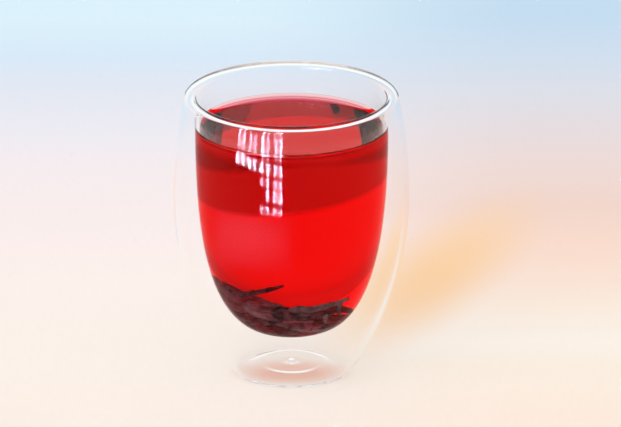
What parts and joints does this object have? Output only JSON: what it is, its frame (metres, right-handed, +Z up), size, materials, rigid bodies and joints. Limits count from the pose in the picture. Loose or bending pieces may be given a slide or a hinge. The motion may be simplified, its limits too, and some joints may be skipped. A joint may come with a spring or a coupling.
{
  "type": "hibiscus tea in a double-wall glass",
  "caption": "Clear double-walled glass tumbler with a round fused lip and a narrow foot, filled with deep red hibiscus tea to a little below the rim.",
  "frame": {"origin": "centre of the foot's resting ring, on the table plane", "axes": "+Z up along the glass's axis; +X and +Y lie in the table plane, and any turn about Z looks the same"},
  "size_m": [0.0832, 0.0832, 0.103],
  "materials": {
    "borosilicate_glass": "clear polished borosilicate glass",
    "hibiscus_tea": "clear deep red liquid"
  },
  "bodies": {
    "root": {"glass": "borosilicate_glass", "tea": "hibiscus_tea"}
  },
  "joints": []
}
